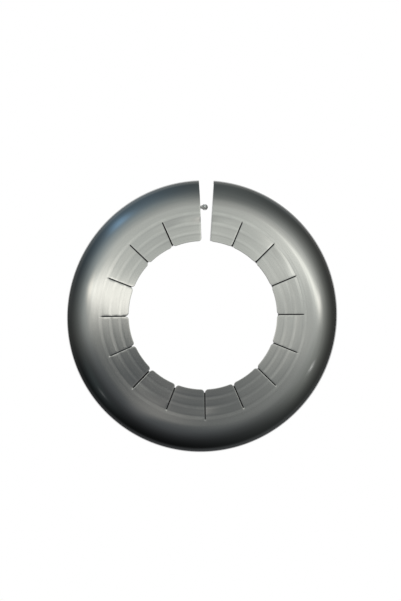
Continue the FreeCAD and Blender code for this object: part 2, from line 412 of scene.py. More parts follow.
@dataclass
class CoverRing:
    """The moulded ring with its fingers, slots, split and grooves.

    Attributes:
        section: Its moulded section.
        finger_count: How many fingers it has.
        finger_corner: Radius of the finger tips' corners, in plan.
        relief_slot_extra: How much longer the slot opposite the split is.
        slot_turns: How far each slot stands from its even place.
        slot_halves: Half the width of each slot.
        split_azimuth: Where the split stands.
        split_halves: Distance of its edges from its middle line, at the tips.
        split_leans: How far its edges lean.
        split_round: Rounding of its edges.
        edge_round: Rounding of the upper edges of slots and tips.
        inner_edge_round: Rounding of their lower edges.
        pad_round: Width of the soft fall beside slots and tips.
        pad_dip: Its depth.
        pad_power: How fast it levels out.
        pad_corner: Distance from a groove over which that fall grows to its full depth.
        edge_lines: Distances from an edge at which the mesh has a line of edges.
        edge_part: Part of a finger's width that the lines of one edge may take, 1 by this.
        middle_columns: Columns of faces between the lines of a finger's two edges.
        fine_past: How far past the slots and past the crown's start the lines spread out.
        row_spacing: Greatest distance between rings of edges.
        least_spacing: Least distance between them.
        slot_end_rows: Distances before a slot's end at which there is a ring of edges.
        crown_steps: Rings of faces on the crown's curve.
        rim_steps: Rings of faces on the rim's curve.
        groove_soft: Half the width over which a groove's corners are rounded.
        hinge_length: Length over which a sprung finger bends.
        roll_lengths: Length over which its roll grows, by the length of its bend.
        springs: How each finger has sprung.
        out_of_round: How far the sprung ring is out of round.
        out_of_round_azimuth: Where it is widest.
        out_of_round_from: The radius from which it is out of round.
    """

    section: Section = field(default_factory=Section)
    finger_count: int = 16
    finger_corner: float = 1.8
    relief_slot_extra: float = 2.1
    slot_turns: tuple[float, ...] = SLOT_TURNS
    slot_halves: tuple[float, ...] = SLOT_HALVES
    split_azimuth: float = 90.0
    split_halves: tuple[float, float] = (0.85, 4.55)
    split_leans: tuple[float, float] = (1.83, 3.55)
    split_round: float = 0.2
    edge_round: float = 0.12
    inner_edge_round: float = 0.1
    pad_round: float = 0.8
    pad_dip: float = 0.02
    pad_power: float = 1.2
    pad_corner: float = 0.9
    edge_lines: tuple[float, ...] = (0.0, 0.05, 0.12, 0.3, 0.65, 1.15, 1.8)
    edge_part: float = 3.0
    middle_columns: int = 10
    fine_past: tuple[float, float] = (2.5, 4.0)
    row_spacing: float = 1.3
    least_spacing: float = 0.025
    slot_end_rows: tuple[float, ...] = (0.3, 0.2, 0.1, 0.03)
    crown_steps: int = 30
    rim_steps: int = 5
    groove_soft: float = 0.06
    hinge_length: float = 4.0
    roll_lengths: float = 1.5
    springs: tuple[Spring, ...] = SPRINGS
    out_of_round: float = 0.63
    out_of_round_azimuth: float = 57.0
    out_of_round_from: float = 63.0

    @property
    def columns(self) -> int:
        """Columns of faces in one finger with the gap before it."""
        return 2 * (len(self.edge_lines) - 1) + self.middle_columns + 2

    @cached_property
    def gaps(self) -> list[Gap]:
        """Lay out the gaps.

        Returns:
            All of them against the clock: the split, the slots, and the split once more.
        """
        section = self.section
        first, past_rim = self.split_azimuth, 2 * section.outer_radius
        made = [Gap(first, past_rim, self.split_halves, self.split_leans)]
        for number, (turn, half) in enumerate(zip(self.slot_turns, self.slot_halves), start=1):
            opposite = number * 2 == self.finger_count
            extra = self.relief_slot_extra if opposite else 0.0
            azimuth = first + 360.0 / self.finger_count * number + turn
            made.append(Gap(azimuth, section.slot_end + extra, (half, half)))
        made.append(Gap(first + 360.0, past_rim, self.split_halves, self.split_leans))
        return made

    def stations(self) -> list[float]:
        """Choose where the mesh has rings of edges, from the finger tips to the crown.

        Returns:
            Their radii in order.
        """
        section = self.section
        ends = (section.slot_end, section.slot_end + self.relief_slot_extra)
        wanted = [section.pipe_radius + line for line in self.edge_lines[1:]]
        for groove in section.grooves:
            wanted += groove.rows(self.groove_soft)
        for end in ends:
            wanted += [end - row for row in self.slot_end_rows]
        radii = [section.pipe_radius, *ends, section.crown_start]
        for radius in sorted(wanted):
            if min(abs(radius - other) for other in radii) > self.least_spacing:
                radii.append(radius)
        radii.sort()
        spaced = radii[:1]
        for radius in radii[1:]:
            last = spaced[-1]
            parts = int((radius - last) / self.row_spacing) + 1
            spaced += [last + (radius - last) * part / parts for part in range(1, parts + 1)]
        return spaced

    def draw_outline(self, mesh: bmesh.types.BMesh) -> None:
        """Draw the section's outline in the XZ plane.

        Args:
            mesh: The mesh to draw in.
        """
        section = self.section
        radii = self.stations()
        start = Vector((radii[0], 0, section.cone_height(radii[0])))
        last = bmesh.ops.create_vert(mesh, co=start)["vert"][0]
        for radius in radii[1:]:
            last = bmesh.ops.extrude_vert_indiv(mesh, verts=[last])["verts"][0]
            last.co = Vector((radius, 0, section.cone_height(radius)))
        arcs = (
            (section.crown_centre, section.rim_lean - section.tilt, self.crown_steps),
            (section.rim_centre, math.pi / 2 - section.rim_lean, self.rim_steps),
        )
        for centre, angle, steps in arcs:
            turned = bmesh.ops.spin(
                mesh, geom=[last], cent=centre, axis=(0, 1, 0), angle=angle, steps=steps,
                use_duplicate=False,
            )
            last = next(v for v in turned["geom_last"] if isinstance(v, bmesh.types.BMVert))
        foot = bmesh.ops.extrude_vert_indiv(mesh, verts=[last])["verts"][0]
        foot.co = Vector((section.outer_radius, 0, 0))

    def column_place(self, column: int, width: float, fine: tuple[float, float]) -> float:
        """Place of a column of the mesh between the two edges of its finger.

        Args:
            column: Its number, from 0 at the first edge.
            width: How wide the finger is there.
            fine: For each edge, how much the columns gather there, from 0 to 1.

        Returns:
            Its distance from the first edge.
        """
        last = len(self.edge_lines) - 1
        total = 2 * last + self.middle_columns
        squeeze = min(1.0, width / self.edge_part / self.edge_lines[-1])

        def gathered(number: int, share: float) -> float:
            """Distance of a column from its edge, between even and gathered."""
            even = width * number / total
            return even + (self.edge_lines[number] * squeeze - even) * share

        if column <= last:
            return gathered(column, fine[0])
        if column >= total - last:
            return width - gathered(total - column, fine[1])
        start = gathered(last, fine[0])
        stop = width - gathered(last, fine[1])
        return start + (stop - start) * (column - last) / self.middle_columns

    def round_corner(self, side: float, tip: float) -> tuple[float, float]:
        """Round a finger's corner in plan, which keeps each point's distance from the edge.

        Args:
            side: Distance from the finger's side, as drawn with a square corner.
            tip: Distance from its tip.

        Returns:
            The two distances with the corner rounded.
        """
        across = 1 - side / self.finger_corner
        along = 1 - tip / self.finger_corner
        if across <= 0 or along <= 0:
            return side, tip
        reach = max(across, along)
        share = along / across if across >= along else 2 - across / along
        angle = math.pi / 4 * share
        radius = self.finger_corner
        return radius * (1 - reach * math.cos(angle)), radius * (1 - reach * math.sin(angle))

    def sprung(self, finger: int, radius: float, lateral: float) -> float:
        """How far a finger stands over its moulded place.

        Args:
            finger: Its number.
            radius: Distance from the middle of the ring.
            lateral: Distance from the finger's middle line.

        Returns:
            The height.
        """
        past = self.section.slot_end - radius
        if past <= 0:
            return 0.0
        length = self.hinge_length
        bent = past**2 / (2 * length) if past < length else past - length / 2
        spring = self.springs[finger]
        half_width = math.pi * radius / self.finger_count
        turned = spring.roll + spring.crowning * lateral / (2 * half_width)
        roll = math.tan(math.radians(turned)) * smoothstep(0, self.roll_lengths * length, past)
        return lateral * roll - bent * math.tan(math.radians(spring.droop))

    def swell(self, radius: float, azimuth: float) -> float:
        """How far the sprung ring is out of round.

        Args:
            radius: Distance from the middle of the ring.
            azimuth: Azimuth in radians.

        Returns:
            The distance that a point there has moved outwards.
        """
        outer = self.section.outer_radius
        share = max((radius - self.out_of_round_from) / (outer - self.out_of_round_from), 0.0)
        turn = azimuth - math.radians(self.out_of_round_azimuth)
        return self.out_of_round * share * math.cos(2 * turn)

    def plan(self, finger: int, column: int, radius: float) -> tuple[float, float, float]:
        """Place of a column's point in a finger's plan.

        Args:
            finger: The finger's number.
            column: The column's number, from 0 at the finger's first edge.
            radius: Distance from the middle of the ring, as drawn with square corners.

        Returns:
            Its radius, its angle from the finger's middle line, and its distance from the edge.
        """
        section = self.section
        first, last = self.gaps[finger : finger + 2]
        half = math.radians(last.azimuth - first.azimuth) / 2
        start = first.edge(Side.LATER, radius) - half
        stop = half - last.edge(Side.EARLIER, radius)
        width = (stop - start) * radius
        spread_from = section.slot_end + self.fine_past[0]
        spread_to = section.crown_start + self.fine_past[1]
        near_slots = 1 - smoothstep(spread_from, spread_to, radius)
        fine = tuple(
            1.0 if gap.end > section.outer_radius else near_slots for gap in (first, last)
        )
        from_first = self.column_place(column, width, fine)
        near_first = from_first < width / 2
        side = from_first if near_first else width - from_first
        square_tip = radius - section.pipe_radius
        square = min(side, square_tip)
        rounded, tip = self.round_corner(side, square_tip)
        if (rounded, tip) != (side, square_tip):
            radius = section.pipe_radius + tip
            start = first.edge(Side.LATER, radius) - half
            stop = half - last.edge(Side.EARLIER, radius)
            angle = start + rounded / radius if near_first else stop - rounded / radius
            return radius, angle, square
        angle = start + from_first / radius
        edge = min(
            square_tip,
            first.distance(Side.LATER, radius, half + angle),
            last.distance(Side.EARLIER, radius, half - angle),
        )
        return radius, angle, edge

    def dip(self, radius: float, edge: float) -> float:
        """How far the upper surface lies below a plain turned one.

        Args:
            radius: Distance from the middle of the ring.
            edge: Distance from the finger's edge.

        Returns:
            The depth of the grooves, of the soft fall beside slots and of the rounded edge.
        """
        section = self.section
        depth = sum(groove.dip(radius, section.groove_depth) for groove in section.grooves)
        if radius < section.crown_start:
            pad = self.pad_dip * max(1 - edge / self.pad_round, 0.0) ** self.pad_power
            nearest = min(abs(radius - groove.lowest) for groove in section.grooves)
            pad *= smoothstep(-self.pad_corner, self.pad_corner, nearest)
            depth = math.hypot(depth, pad)
        return depth + rounding(edge, self.edge_round)

    def split_dip(self, finger: int, radius: float, azimuth: float) -> float:
        """How far the upper surface drops to the split's rounded edges.

        Args:
            finger: The finger's number.
            radius: Distance from the middle of the ring.
            azimuth: Azimuth in radians.

        Returns:
            The depth.
        """
        depth = 0.0
        for gap, side in zip(self.gaps[finger : finger + 2], Side):
            if gap.end > self.section.outer_radius:
                turned = abs(azimuth - math.radians(gap.azimuth))
                depth += rounding(gap.distance(side, radius, turned), self.split_round)
        return depth

    def shape(self, mesh: bmesh.types.BMesh) -> None:
        """Bring a plain turned surface to the ring's plan, with its slots, split and corners.

        Args:
            mesh: The turned surface, whose columns stand at even angles from the split on.
        """
        section = self.section
        step = 2 * math.pi / self.finger_count / self.columns
        inner = mesh.verts.layers.float_vector.new("inner_place")
        dropped = []
        for vert in mesh.verts:
            place = Vector((vert.co.xy.length, 0, vert.co.z))
            azimuth = math.atan2(vert.co.y, vert.co.x) - math.radians(self.split_azimuth)
            number = round(azimuth / step) % (self.finger_count * self.columns)
            finger, column = divmod(number, self.columns)
            gap, following = self.gaps[finger : finger + 2]
            middle = math.radians(gap.azimuth + following.azimuth) / 2
            if column == 0:
                if place.x < gap.end - WELD:
                    dropped.append(vert)
                    continue
                radius, angle = place.x, math.radians(gap.azimuth) - middle
                edge = gap.distance(Side.LATER, radius, 0.0)
            else:
                radius, angle, edge = self.plan(finger, column - 1, place.x)
            if radius != place.x:
                place = Vector((radius, 0, section.cone_height(radius)))
            azimuth = middle + angle
            dip = self.dip(radius, edge) + self.split_dip(finger, radius, azimuth)
            height = self.sprung(finger, radius, radius * math.sin(angle))
            lift = Vector((self.swell(radius, azimuth), 0, height))
            inside = section.inside(place)
            inside.z += rounding(edge, self.inner_edge_round)
            turn = Matrix.Rotation(azimuth, 3, "Z")
            vert.co = turn @ (place - section.normal(place) * dip + lift)
            vert[inner] = turn @ (inside + lift)
        bmesh.ops.delete(mesh, geom=dropped, context="VERTS")

    def build(self) -> bpy.types.Object:
        """Make the ring as one closed shell.

        Returns:
            The piece.
        """
        mesh = bmesh.new()
        self.draw_outline(mesh)
        turn = Matrix.Rotation(math.radians(self.split_azimuth), 3, "Z")
        bmesh.ops.rotate(mesh, verts=mesh.verts, matrix=turn)
        bmesh.ops.spin(
            mesh, geom=list(mesh.verts) + list(mesh.edges), cent=(0, 0, 0), axis=(0, 0, 1),
            angle=2 * math.pi, steps=self.finger_count * self.columns, use_merge=True,
            use_duplicate=False,
        )
        self.shape(mesh)
        merge_doubles(mesh)
        if sum(face.normal.z for face in mesh.faces) < 0:
            bmesh.ops.reverse_faces(mesh, faces=mesh.faces)
        inner = mesh.verts.layers.float_vector["inner_place"]
        grown = bmesh.ops.extrude_face_region(mesh, geom=list(mesh.faces), use_keep_orig=True)
        for item in grown["geom"]:
            if isinstance(item, bmesh.types.BMVert):
                item.co = item[inner]
        merge_doubles(mesh)
        return finish_piece("cover_ring", mesh)

    def dress(self, piece: bpy.types.Object, material: bpy.types.Material) -> None:
        """Give the ring its lacquer."""
        dress_piece(piece, material)


@dataclass
class Clip:
    """What both halves of the snap clip share: its axis and the size of its blocks.

    Attributes:
        face: Where the block's end face is along X, at the clip's axis.
        length: How far the block goes on from there along X.
        lean: How far the split's plane is turned there from the Y axis.
        axis_y: The axis along Y.
        axis_z: Its height.
        block_width: The block's size along Y.
        block_foot: Height of its underside.
        block_top: Height of its top, inside the shell.
    """

    face: float = 0.0
    length: float = 1.0
    lean: float = 0.0
    axis_y: float = 66.05
    axis_z: float = 8.242
    block_width: float = 6.5
    block_foot: float = 4.99
    block_top: float = 11.4

    def move_block(self, mesh: bmesh.types.BMesh) -> None:
        """Bring a block drawn from X = 0 on to its place, with its end in the split's plane.

        Args:
            mesh: The block alone.
        """
        turn = Matrix.Rotation(math.radians(self.lean), 3, "Z")
        bmesh.ops.rotate(mesh, verts=mesh.verts, matrix=turn)
        bmesh.ops.translate(mesh, vec=(self.face, self.axis_y, 0), verts=mesh.verts)

    def dress(self, piece: bpy.types.Object, material: bpy.types.Material) -> None:
        """Give the piece its lacquer."""
        dress_piece(piece, material)


@dataclass
class BallPeg(Clip):
    """The ball-headed peg on the left end of the ring, with the block that it grows from.

    Attributes:
        bevel: Width of the block's bevels.
        bevel_steps: Rows of faces on a bevel.
        ball_centre: Where the ball's centre is along X.
        ball_radius: The ball's radius.
        ball_steps: Rows of faces on the ball.
        root_depth: How far the peg reaches into the block.
        root: Places along the peg from the block on, each with the radius there.
        shoulder: Places back from the ball, each with the radius there.
        segments: Faces round the peg.
    """

    face: float = -1.64
    length: float = -5.0
    lean: float = 1.7
    bevel: float = 0.25
    bevel_steps: int = 2
    ball_centre: float = 1.35
    ball_radius: float = 1.88
    ball_steps: int = 20
    root_depth: float = 1.0
    root: tuple[tuple[float, float], ...] = ((0.0, 1.25), (0.12, 1.12), (0.3, 1.04), (0.55, 1.0))
    shoulder: tuple[tuple[float, float], ...] = (
        (0.75, 1.0), (0.4, 1.06), (0.15, 1.17), (0.0, 1.3),
    )
    segments: int = 40

    def draw_block(self, mesh: bmesh.types.BMesh) -> None:
        """Draw the block with bevelled edges.

        Args:
            mesh: The mesh to draw in, which is empty.
        """
        height = self.block_top - self.block_foot
        size = (abs(self.length), self.block_width, height)
        middle = (self.length / 2, 0, self.block_foot + height / 2)
        bmesh.ops.create_cube(mesh, size=1.0)
        bmesh.ops.scale(mesh, vec=size, verts=mesh.verts)
        bmesh.ops.translate(mesh, vec=middle, verts=mesh.verts)
        bmesh.ops.bevel(
            mesh, geom=list(mesh.edges), offset=self.bevel, segments=self.bevel_steps,
            profile=0.5, affect="EDGES", material=-1,
        )

    def draw_peg(self, mesh: bmesh.types.BMesh) -> None:
        """Turn the neck and the ball about the clip's axis.

        Args:
            mesh: The mesh that holds the block.
        """
        block = set(mesh.verts)
        reach = math.acos(self.shoulder[-1][1] / self.ball_radius)
        meeting = self.ball_centre - self.ball_radius * math.sin(reach)
        inside = self.face - self.root_depth
        line = [(inside, self.root[0][1])]
        line += [(self.face + along, radius) for along, radius in self.root]
        line += [(meeting - back, radius) for back, radius in self.shoulder]
        last = bmesh.ops.create_vert(mesh, co=(inside, 0, 0))["vert"][0]
        for along, radius in line:
            last = bmesh.ops.extrude_vert_indiv(mesh, verts=[last])["verts"][0]
            last.co = Vector((along, 0, radius))
        bmesh.ops.spin(
            mesh, geom=[last], cent=(self.ball_centre, 0, 0), axis=(0, 1, 0),
            angle=math.pi / 2 + reach, steps=self.ball_steps, use_duplicate=False,
        )
        verts = [vert for vert in mesh.verts if vert not in block]
        edges = [edge for edge in mesh.edges if edge.verts[0] not in block]
        bmesh.ops.spin(
            mesh, geom=verts + edges, cent=(0, 0, 0), axis=(1, 0, 0), angle=2 * math.pi,
            steps=self.segments, use_merge=True, use_duplicate=False,
        )
        peg = [vert for vert in mesh.verts if vert not in block]
        bmesh.ops.translate(mesh, vec=(0, self.axis_y, self.axis_z), verts=peg)

    def build(self) -> bpy.types.Object:
        """Make the block and the peg.

        Returns:
            The piece.
        """
        mesh = bmesh.new()
        self.draw_block(mesh)
        self.move_block(mesh)
        self.draw_peg(mesh)
        merge_doubles(mesh)
        return finish_piece("ball_peg", mesh)


@dataclass
class SocketBlock(Clip):
    """The block under the right end of the ring, with the socket that the ball snaps into.

    Attributes:
        cavity_centre: Where the hollow's centre is along the block.
        cavity_radius: The hollow's radius.
        cavity_steps: Rows of faces in the hollow.
        cavity_rest: Angle in radians at the hollow's far end that is closed flat.
        mouth_radius: Radius of its mouth.
        mouth_chamfer: Width of the mouth's chamfer.
        slit: Width of the slit under the mouth.
        arc_steps: Faces round the hollow.
        back_overlap: How far the solid back reaches over the hollow's end.
        back_inset: How much smaller the back is, so that no two faces lie in one place.
    """

    face: float = 6.16
    length: float = 6.54
    lean: float = -4.0
    cavity_centre: float = 3.35
    cavity_radius: float = 2.05
    cavity_steps: int = 9
    cavity_rest: float = 0.35
    mouth_radius: float = 1.65
    mouth_chamfer: float = 0.3
    slit: float = 1.0
    arc_steps: int = 28
    back_overlap: float = 0.1
    back_inset: float = 0.01

    @cached_property
    def hollow(self) -> list[tuple[float, float]]:
        """Lay out the hollow.

        Returns:
            Places along the block, each with the hollow's radius there.
        """
        mouth = self.cavity_centre - math.sqrt(self.cavity_radius**2 - self.mouth_radius**2)
        made = [
            (0.0, self.mouth_radius + self.mouth_chamfer),
            (self.mouth_chamfer, self.mouth_radius),
            (mouth, self.mouth_radius),
        ]
        first = math.acos((self.cavity_centre - mouth) / self.cavity_radius)
        for step in range(1, self.cavity_steps + 1):
            angle = first + (math.pi - self.cavity_rest - first) * step / self.cavity_steps
            along = self.cavity_centre - self.cavity_radius * math.cos(angle)
            made.append((along, self.cavity_radius * math.sin(angle)))
        return made

    def draw_end(self, mesh: bmesh.types.BMesh) -> list[bmesh.types.BMVert]:
        """Draw the outline of the block's end, with its slit and a bore of radius 1.

        Args:
            mesh: The mesh to draw in, which is empty.

        Returns:
            The points of the bore.
        """
        half, gap = self.block_width / 2, self.slit / 2
        low, high = self.block_foot - self.axis_z, self.block_top - self.axis_z
        edge = math.asin(gap / self.mouth_radius)
        start = bmesh.ops.create_vert(mesh, co=(0, 0, -1))["vert"][0]
        bmesh.ops.rotate(mesh, verts=[start], matrix=Matrix.Rotation(edge, 3, "X"))
        bmesh.ops.spin(
            mesh, geom=[start], cent=(0, 0, 0), axis=(1, 0, 0), angle=2 * (math.pi - edge),
            steps=self.arc_steps, use_duplicate=False,
        )
        bore = list(mesh.verts)
        ends = [vert for vert in bore if len(vert.link_edges) == 1]
        first, last = sorted(ends, key=lambda vert: vert.co.y)
        corners = ((gap, low), (half, low), (half, high), (-half, high), (-half, low), (-gap, low))
        for y, z in corners:
            last = bmesh.ops.extrude_vert_indiv(mesh, verts=[last])["verts"][0]
            last.co = Vector((0, y, z))
        bmesh.ops.contextual_create(mesh, geom=[last, first])
        return bore

    def draw_out(self, mesh: bmesh.types.BMesh, bore: list[bmesh.types.BMVert]) -> None:
        """Draw the end's outline out along the block, as wide as the hollow at each place.

        Args:
            mesh: The mesh that holds the outline.
            bore: The points of the bore.
        """
        loop = list(mesh.edges)
        mouth = self.hollow[0][1]
        bmesh.ops.scale(mesh, vec=(1, mouth, mouth), verts=bore)
        bmesh.ops.contextual_create(mesh, geom=loop)
        for (before, old), (along, radius) in zip(self.hollow, self.hollow[1:]):
            grown = bmesh.ops.extrude_edge_only(mesh, edges=loop)["geom"]
            verts = [item for item in grown if isinstance(item, bmesh.types.BMVert)]
            loop = [item for item in grown if isinstance(item, bmesh.types.BMEdge)]
            bmesh.ops.translate(mesh, vec=(along - before, 0, 0), verts=verts)
            near = [vert for vert in verts if math.hypot(vert.co.y, vert.co.z) < old + WELD]
            bmesh.ops.scale(mesh, vec=(1, radius / old, radius / old), verts=near)
        bmesh.ops.contextual_create(mesh, geom=loop)
        bmesh.ops.translate(mesh, vec=(0, 0, self.axis_z), verts=mesh.verts)

    def add_back(self, mesh: bmesh.types.BMesh) -> None:
        """Add the solid back of the block, behind the hollow.

        Args:
            mesh: The mesh that holds the hollow part.
        """
        start = self.hollow[-1][0] - self.back_overlap
        width, height = self.block_width, self.block_top - self.block_foot
        size = (self.length - start, width - self.back_inset, height - self.back_inset)
        middle = (start + size[0] / 2, 0, (self.block_top + self.block_foot) / 2)
        cube = bmesh.ops.create_cube(mesh, size=1.0)["verts"]
        bmesh.ops.scale(mesh, vec=size, verts=cube)
        bmesh.ops.translate(mesh, vec=middle, verts=cube)

    def build(self) -> bpy.types.Object:
        """Make the hollow part and its back.

        Returns:
            The piece.
        """
        mesh = bmesh.new()
        self.draw_out(mesh, self.draw_end(mesh))
        self.add_back(mesh)
        self.move_block(mesh)
        bmesh.ops.recalc_face_normals(mesh, faces=mesh.faces)
        return finish_piece("socket_block", mesh)


class Wire:
    """A number on its way through a shader, which takes part in ordinary sums."""

    def __init__(self, shader: "Shader", socket: bpy.types.NodeSocket) -> None:
        """Keep the shader and the socket that the number comes from."""
        self.shader = shader
        self.socket = socket

    def __add__(self, other: "Wire | float") -> "Wire":
        """Sum of two numbers."""
        return self.shader.maths("ADD", self, other)

    __radd__ = __add__

    def __sub__(self, other: "Wire | float") -> "Wire":
        """Difference of two numbers."""
        return self.shader.maths("SUBTRACT", self, other)

    def __rsub__(self, other: "Wire | float") -> "Wire":
        """Difference of two numbers, the other way round."""
        return self.shader.maths("SUBTRACT", other, self)

    def __mul__(self, other: "Wire | float") -> "Wire":
        """Product of two numbers."""
        return self.shader.maths("MULTIPLY", self, other)

    __rmul__ = __mul__

    def __truediv__(self, other: "Wire | float") -> "Wire":
        """One number divided by another."""
        return self.shader.maths("DIVIDE", self, other)

    def __rtruediv__(self, other: "Wire | float") -> "Wire":
        """One number divided by another, the other way round."""
        return self.shader.maths("DIVIDE", other, self)


class Shader:
    """A node tree that is written as sums and calls."""

    def __init__(self, tree: bpy.types.NodeTree) -> None:
        """Empty a node tree and keep it."""
        self.tree = tree
        tree.nodes.clear()

    def feed(self, place: bpy.types.NodeSocket, what: object) -> None:
        """Link a wire to an input, or set the input's value.

        Args:
            place: The input.
            what: The wire or the value.
        """
        if isinstance(what, Wire):
            self.tree.links.new(what.socket, place)
        else:
            place.default_value = what

    def add(self, kind: str, settings: dict, inputs: dict, output: int | str = 0) -> Wire:
        """Add a node.

        Args:
            kind: Its type.
            settings: Its settings, which are made first.
            inputs: What its inputs get, by number or name.
            output: The output that is passed on.

        Returns:
            That output.
        """
        node = self.tree.nodes.new(kind)
        for name, setting in settings.items():
            setattr(node, name, setting)
        for name, what in inputs.items():
            self.feed(node.inputs[name], what)
        return Wire(self, node.outputs[output] if node.outputs else None)

    def maths(self, operation: str, *numbers: "Wire | float") -> Wire:
        """One sum of numbers."""
        return self.add("ShaderNodeMath", {"operation": operation}, dict(enumerate(numbers)))

    def vector(self, operation: str, *inputs: object, output: int = 0) -> Wire:
        """One sum of vectors, whose second output is a number."""
        settings = {"operation": operation}
        return self.add("ShaderNodeVectorMath", settings, dict(enumerate(inputs)), output)

    def parts(self, vector: Wire) -> list[Wire]:
        """The X, Y and Z of a vector."""
        first = self.add("ShaderNodeSeparateXYZ", {}, {0: vector})
        return [Wire(self, socket) for socket in first.socket.node.outputs]

    def noise(self, place: Wire, scale: float) -> Wire:
        """Soft random numbers about a half, in two sizes."""
        inputs = {"Vector": place, "Scale": scale, "Detail": 2.0, "Roughness": 0.5}
        return self.add("ShaderNodeTexNoise", {}, inputs)

    def smooth(self, number: Wire, low: float, high: float, start: float, stop: float) -> Wire:
        """Pass smoothly from one number to another.

        Args:
            number: What is read.
            low: Its value at which the passing begins.
            high: Its value at which it ends.
            start: The number before.
            stop: The number after.

        Returns:
            The number there.
        """
        settings = {"interpolation_type": "SMOOTHSTEP"}
        inputs = {0: number, 1: low, 2: high, 3: start, 4: stop}
        return self.add("ShaderNodeMapRange", settings, inputs)

    def blend(self, share: "Wire | float", first: object, second: object) -> Wire:
        """Mix two colours."""
        inputs = {"Factor": share, 6: first, 7: second}
        return self.add("ShaderNodeMix", {"data_type": "RGBA"}, inputs, 2)


@dataclass(frozen=True)
class SilverLacquer:
    """Silver metallic lacquer on moulded plastic, with streaks round the ring, and with painted
    highlight bands and painted shade lines at the grooves.

    Attributes:
        name: The material's name.
        colour: Its tone.
        streak_colour: Its tone in the streaks.
        metallic: How much of it mirrors as metal does.
        roughness: How blurred it mirrors.
        roughness_swing: How far the streaks change that.
        streaks_round: How often the streaks change along their way round.
        streaks_per_mm: How often they change from the middle outwards.
        streak_tone_range: The noise between which the tone passes to the streaks' tone.
        streak_blur_range: The noise between which the roughness changes.
        groove_highlights: Radii of the painted highlight bands beside the grooves.
        groove_highlight_width: Their width.
        groove_highlight_gain: How much lighter they are.
        groove_highlight_patchiness: Their strength where the patch noise is low and high.
        groove_shade_lines: Radii of the thin painted shade lines in the grooves.
        groove_shade_line_width: Their width.
        groove_shade_line_loss: How much darker they are.
        groove_shade_line_patchiness: Their strength where the patch noise is low and high.
        ring_edges: Where a painted band or line fades, by its width.
        patch_scale: Fineness of the noise that makes the painted bands and lines patchy.
        patch_range: The noise between which that patchiness passes from low to high.
        fleck_scale: Fineness of the metal flecks.
        fleck_strength: Strength of their relief.
        fleck_depth: Depth of their relief.
    """

    name: str = "silver_lacquer"
    colour: tuple[float, float, float] = (0.5, 0.5, 0.5)
    streak_colour: tuple[float, float, float] = (0.482, 0.482, 0.482)
    metallic: float = 1.0
    roughness: float = 0.1
    roughness_swing: float = 0.004
    streaks_round: float = 3.0
    streaks_per_mm: float = 0.6
    streak_tone_range: tuple[float, float] = (0.35, 0.65)
    streak_blur_range: tuple[float, float] = (0.3, 0.7)
    # Painted highlight bands and painted shade lines at the grooves, made patchy by noise.
    groove_highlights: tuple[float, ...] = (50.4, 56.4, 62.45)
    groove_highlight_width: float = 1.2
    groove_highlight_gain: float = 1.11
    groove_highlight_patchiness: tuple[float, float] = (0.35, 1.0)
    groove_shade_lines: tuple[float, ...] = (49.1, 54.75, 60.75)
    groove_shade_line_width: float = 0.5
    groove_shade_line_loss: float = 0.92
    groove_shade_line_patchiness: tuple[float, float] = (1.0, 0.3)
    ring_edges: tuple[float, float] = (0.2, 0.9)
    patch_scale: float = 110.0
    patch_range: tuple[float, float] = (0.35, 0.65)
    fleck_scale: float = 3500.0
    fleck_strength: float = 0.04
    fleck_depth: float = 0.1

    def rings(self, shader: Shader, radius: Wire, places: tuple[float, ...], width: float) -> Wire:
        """Mask rings at some radii.

        Args:
            shader: The shader.
            radius: Distance from the middle of the ring.
            places: The rings' radii.
            width: How wide they are.

        Returns:
            The mask, 1 on the rings and 0 between them.
        """
        full, gone = (edge * width for edge in self.ring_edges)
        mask = 0.0
        for place in places:
            away = shader.maths("ABSOLUTE", radius - place)
            mask = shader.smooth(away, full, gone, 1.0, 0.0) + mask
        return mask

    def streaks(self, shader: Shader, flat: Wire, radius: Wire) -> Wire:
        """Draw noise out into streaks round the ring.

        Args:
            shader: The shader.
            flat: The place in the ring's plane.
            radius: Its distance from the middle.

        Returns:
            The noise.
        """
        x, y, _ = shader.parts(shader.vector("NORMALIZE", flat))
        turn = self.streaks_round
        inputs = {0: x * turn, 1: y * turn, 2: radius * self.streaks_per_mm}
        return shader.noise(shader.add("ShaderNodeCombineXYZ", {}, inputs), 1.0)

    def tone(self, shader: Shader, streak: Wire, patchiness: Wire, radius: Wire) -> Wire:
        """Colour the lacquer, with its streaks, the painted highlight bands beside the grooves and
        the painted shade lines in them.

        Args:
            shader: The shader.
            streak: The streaks' noise.
            patchiness: Noise that makes the painted bands and lines patchy.
            radius: Distance from the middle of the ring.

        Returns:
            The colour.
        """
        # Colours of the painted highlight bands and of the painted shade lines.
        highlight_colour = [min(part * self.groove_highlight_gain, 1.0) for part in self.colour]
        shaded_colour = [part * self.groove_shade_line_loss for part in self.colour]
        share = shader.smooth(streak, *self.streak_tone_range, 0.0, 1.0)
        tone = shader.blend(share, (*self.colour, 1), (*self.streak_colour, 1))
        # Painted highlight: lighter bands beside the grooves.
        sides = self.rings(shader, radius, self.groove_highlights, self.groove_highlight_width)
        sides = sides * shader.smooth(patchiness, *self.patch_range, *self.groove_highlight_patchiness)
        # Painted shade: thin darker lines in the grooves.
        lines = self.rings(shader, radius, self.groove_shade_lines, self.groove_shade_line_width)
        lines = lines * shader.smooth(patchiness, *self.patch_range, *self.groove_shade_line_patchiness)
        return shader.blend(lines, shader.blend(sides, tone, (*highlight_colour, 1)), (*shaded_colour, 1))

    def make(self) -> bpy.types.Material:
        """Make the material.

        Returns:
            The material.
        """
        material = bpy.data.materials.new(self.name)
        material.use_nodes = True
        shader = Shader(material.node_tree)
        place = shader.add("ShaderNodeTexCoord", {}, {}, "Object")
        flat = shader.vector("MULTIPLY", place, (1, 1, 0))
        radius = shader.vector("LENGTH", flat, output=1) / MM
        streak = self.streaks(shader, flat, radius)
